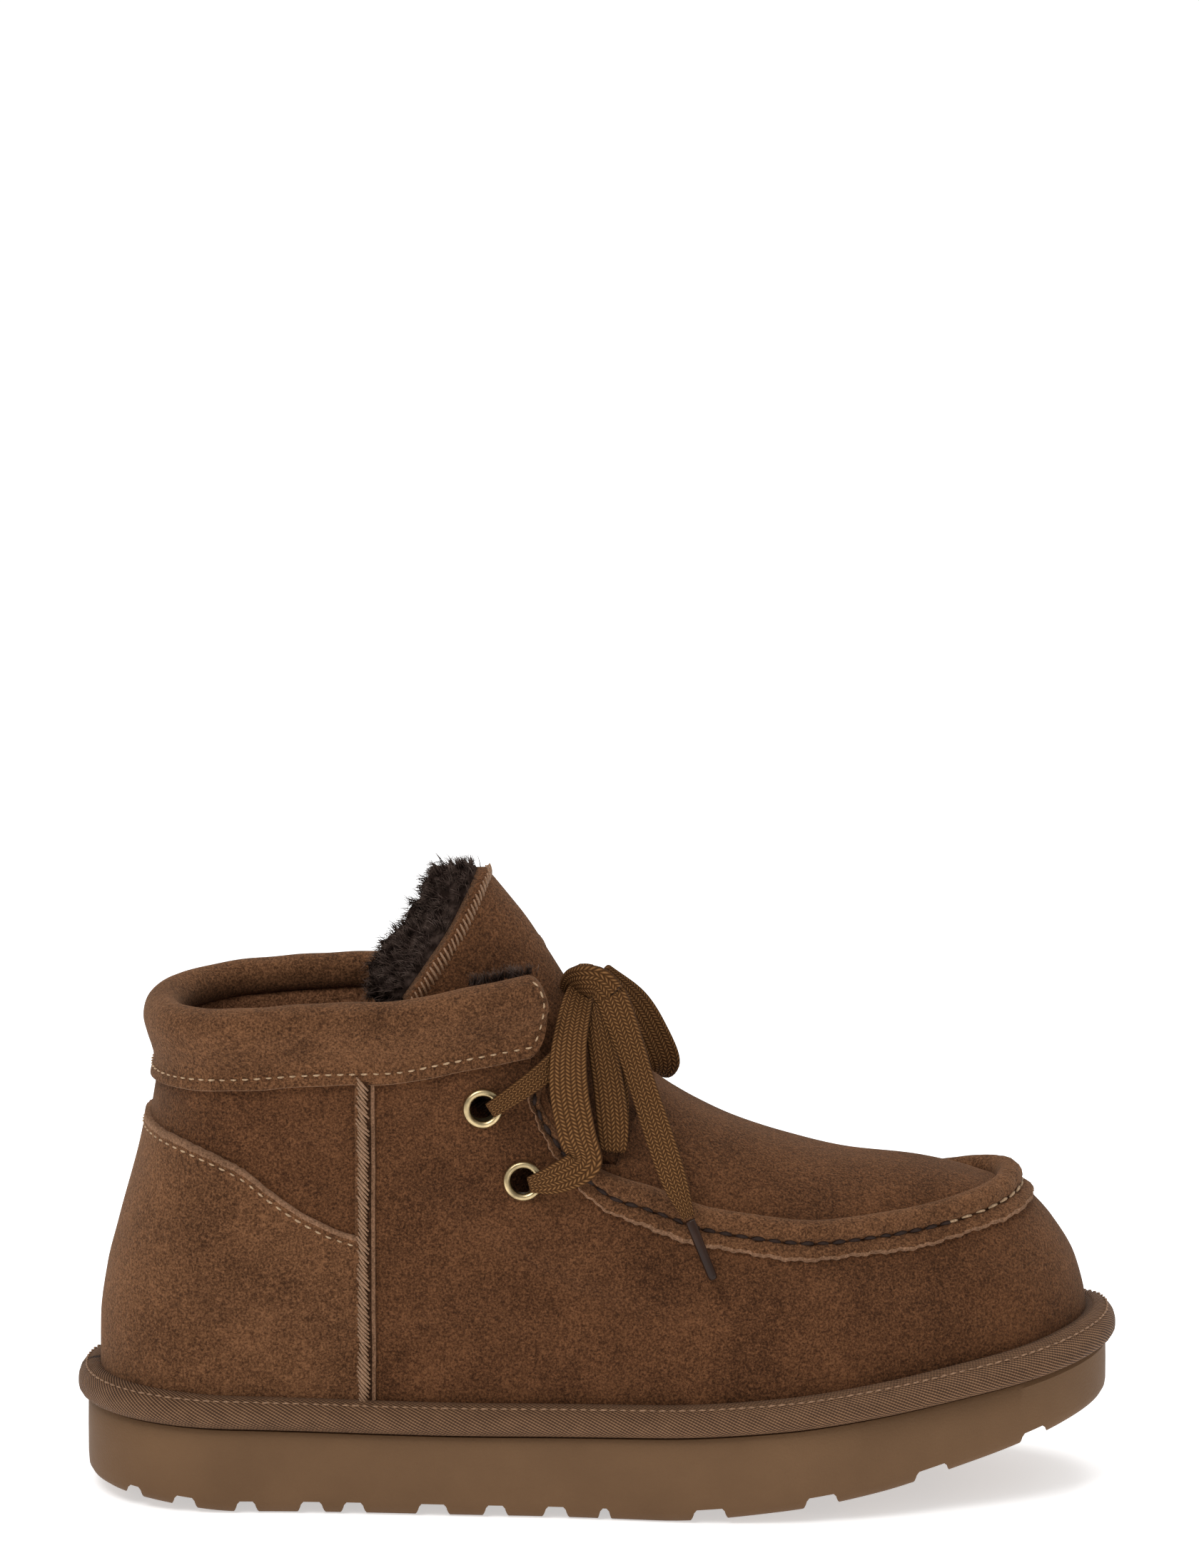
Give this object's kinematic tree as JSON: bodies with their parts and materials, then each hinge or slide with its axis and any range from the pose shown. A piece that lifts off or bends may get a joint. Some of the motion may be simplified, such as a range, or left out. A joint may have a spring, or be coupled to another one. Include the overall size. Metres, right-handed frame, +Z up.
{
  "type": "moccasin ankle boot",
  "caption": "Lace-up suede ankle boot with fleece lining, rolled moccasin seam, padded collar and a lugged platform sole, right foot.",
  "frame": {"origin": "on the floor, under the middle of the heel's flat tread bar, which is where the boot rests", "axes": "+Z up, +X from heel to toe, +Y towards the inner side of the foot, so the outer side with the near eyelets is at -Y"},
  "size_m": [0.2852, 0.1021, 0.173],
  "materials": {
    "suede": "napped brown suede with a short soft pile",
    "binding": "brown twill tape rolled round the edge",
    "rubber": "smooth matte brown moulded sole",
    "fleece": "deep dark grey-brown sheepskin fleece",
    "brass": "satin antique brass",
    "lace": "flat woven olive-brown lace",
    "aglet": "dark brown glossy lace tip"
  },
  "bodies": {
    "root": {"outsole": "rubber", "binding": "binding", "insole": "fleece", "upper": "suede", "collar": "suede", "moc_seam": "suede", "heel_counter": "suede", "side_seam_outer": "suede", "side_seam_inner": "suede", "tongue": "suede", "tongue_fleece": "fleece", "eyelet_upper_outer": "brass", "eyelet_lower_outer": "brass", "eyelet_upper_inner": "brass", "eyelet_lower_inner": "brass", "lace_bars": "lace", "lace_knot": "lace", "lace_loop_near": "lace", "lace_loop_far": "lace", "lace_end_near": "lace", "lace_end_far": "lace", "aglet_near": "aglet", "aglet_far": "aglet"}
  },
  "joints": []
}
